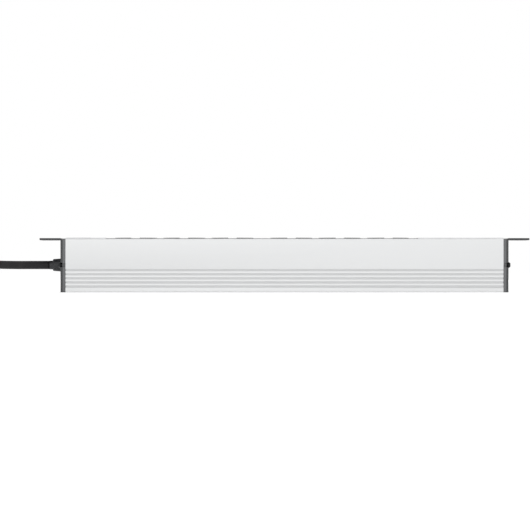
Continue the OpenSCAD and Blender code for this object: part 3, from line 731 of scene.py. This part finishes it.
class POWERSTRIP_OT_channel(bpy.types.Operator):
    """Finishes the aluminium channel"""

    bl_idname = "power_strip.channel"
    bl_label = "Channel"

    def execute(self, context):
        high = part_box("channel")[1]
        metal = anodised_aluminium(context.scene.strip_colours.aluminium, high.z, high.y)
        finish_nodes(["channel"], metal, context.scene.strip_sizes.cut_edge)
        return {"FINISHED"}


class POWERSTRIP_OT_sockets(bpy.types.Operator):
    """Finishes the two socket blocks, their bases and the blank covers beside them"""

    bl_idname = "power_strip.sockets"
    bl_label = "Sockets"

    def execute(self, context):
        edge, colours = context.scene.strip_sizes.moulded_edge, context.scene.strip_colours
        plastic = moulded_plastic("socket_plastic", colours.socket)
        finish_nodes(named("socket_block"), plastic, edge)
        grey = moulded_plastic("cover_plastic", colours.cover, 0.46, 1900.0, 0.008 * MM, worn=0.0)
        finish_nodes(named("cover_"), grey, edge)
        dark_grey = moulded_plastic("base_plastic", shade(colours.socket, 4.0), 0.5)
        finish_nodes(named("block_base"), dark_grey)
        return {"FINISHED"}


class POWERSTRIP_OT_contacts(bpy.types.Operator):
    """Finishes the brass contact strips and the earth strips with their side contacts"""

    bl_idname = "power_strip.contacts"
    bl_label = "Contacts"

    def execute(self, context):
        colours = context.scene.strip_colours
        finish_nodes(named("live_strip", "neutral_strip"), rolled_brass(colours.brass))
        springy = plated_steel("tinned_spring_steel", colours.steel, 0.26, stretch=(2500.0, 2500.0, 30.0))
        finish_nodes(named("earth_strip", "earth_tag"), springy)
        return {"FINISHED"}


class POWERSTRIP_OT_shutters(bpy.types.Operator):
    """Finishes the six shutters, their springs and their washers"""

    bl_idname = "power_strip.shutters"
    bl_label = "Shutters"

    def execute(self, context):
        colours = context.scene.strip_colours
        pale = moulded_plastic("shutter_plastic", colours.shutter, 0.4, depth=0.006 * MM, worn=0.0)
        wings = [n for n in named("shutter_") if n[-1].isdigit()]
        finish_nodes(wings, pale, context.scene.strip_sizes.moulded_edge)
        wire = plated_steel("spring_wire", colours.steel, 0.24)
        finish_nodes(["shutter_springs", "shutter_washers"], wire)
        return {"FINISHED"}


class POWERSTRIP_OT_ends(bpy.types.Operator):
    """Finishes the end caps and the folded brackets with their slotted ears"""

    bl_idname = "power_strip.ends"
    bl_label = "Ends"

    def execute(self, context):
        sizes, colours = context.scene.strip_sizes, context.scene.strip_colours
        grey = moulded_plastic("cap_plastic", colours.cap, 0.46)
        finish_nodes(named("end_cap"), grey, sizes.moulded_edge)
        slots = next(m for m in frame["record"]["mounts"] if m["kind"] == "bolt_pattern")["dims"]
        out, across, slot = (slots[k] * MM / 2 for k in ("spacing_x_mm", "spacing_y_mm", "slot_length_mm"))
        coat = powder_coat(colours.bracket, out, across, slot)
        finish_nodes(named("bracket_left", "bracket_right"), coat, sizes.cut_edge)
        return {"FINISHED"}


class POWERSTRIP_OT_fasteners(bpy.types.Operator):
    """Finishes the black bracket screws and the plated screws inside and underneath"""

    bl_idname = "power_strip.fasteners"
    bl_label = "Fasteners"

    def execute(self, context):
        sizes, colours = context.scene.strip_sizes, context.scene.strip_colours
        finish_nodes(["bracket_screws"], blackened_steel(), sizes.cut_edge)
        finish_nodes(["block_screws", "earth_screw", "terminal_screws"],
                     plated_steel("zinc_plating", colours.steel), sizes.cut_edge * 0.7)
        return {"FINISHED"}


class POWERSTRIP_OT_supply(bpy.types.Operator):
    """Finishes the bush and its nut, the end of the cord inside, the cores, the terminals and the plate"""

    bl_idname = "power_strip.supply"
    bl_label = "Supply"

    def execute(self, context):
        sizes, colours = context.scene.strip_sizes, context.scene.strip_colours
        nylon = moulded_plastic("bush_nylon", colours.socket, 0.34, grain=1500.0, depth=0.008 * MM)
        finish_nodes(["cord_bush", "bush_nut"], nylon, sizes.cut_edge / 2)
        finish_nodes(["cord_inlet"], cord_sheath(colours.cord, follows_cord=False))
        earth_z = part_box("wire_earth")[0].z + CORE_R
        finish_nodes(["wire_live"], core_insulation("brown_core", (0.16, 0.06, 0.025)))
        finish_nodes(["wire_neutral"], core_insulation("blue_core", (0.03, 0.12, 0.45)))
        green, yellow = (0.06, 0.3, 0.04), (0.75, 0.6, 0.04)
        finish_nodes(["wire_earth"], core_insulation("green_yellow_core", green, yellow, earth_z))
        natural = moulded_plastic("terminal_nylon", (0.62, 0.59, 0.52), 0.45, worn=0.0)
        finish_nodes(["terminal_block"], natural, sizes.moulded_edge)
        low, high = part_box("rating_plate")
        finish_nodes(["rating_plate"], blank_foil((low.x + high.x) / 2, (high.x - low.x) / 2, high.y))
        return {"FINISHED"}


OPERATORS = (
    POWERSTRIP_OT_stage, POWERSTRIP_OT_cord, POWERSTRIP_OT_tie, POWERSTRIP_OT_plug, POWERSTRIP_OT_channel,
    POWERSTRIP_OT_sockets, POWERSTRIP_OT_contacts, POWERSTRIP_OT_shutters, POWERSTRIP_OT_ends,
    POWERSTRIP_OT_fasteners, POWERSTRIP_OT_supply,
)


class POWERSTRIP_PT_panel(bpy.types.Panel):
    """Lists the strip's sizes, colours and pieces"""

    bl_idname = "POWERSTRIP_PT_panel"
    bl_label = "Power strip"
    bl_space_type = "VIEW_3D"
    bl_region_type = "UI"
    bl_category = "Power strip"

    def draw(self, context):
        for group in (context.scene.strip_sizes, context.scene.strip_colours):
            box = self.layout.box()
            for name in group.__annotations__:
                box.prop(group, name)
        for operator in OPERATORS:
            self.layout.operator(operator.bl_idname)


CLASSES = (StripSizes, StripColours, *OPERATORS, POWERSTRIP_PT_panel)


def register():
    """Adds the classes and the two groups of values on the scene."""
    for made in CLASSES:
        bpy.utils.register_class(made)
    bpy.types.Scene.strip_sizes = PointerProperty(type=StripSizes)
    bpy.types.Scene.strip_colours = PointerProperty(type=StripColours)


def unregister():
    """Takes the groups of values and the classes away again."""
    del bpy.types.Scene.strip_sizes
    del bpy.types.Scene.strip_colours
    for made in reversed(CLASSES):
        bpy.utils.unregister_class(made)


def main():
    """Makes every piece in order."""
    register()
    for operator in OPERATORS:
        group, name = operator.bl_idname.split(".")
        getattr(getattr(bpy.ops, group), name)()


if __name__ == "__main__":
    main()
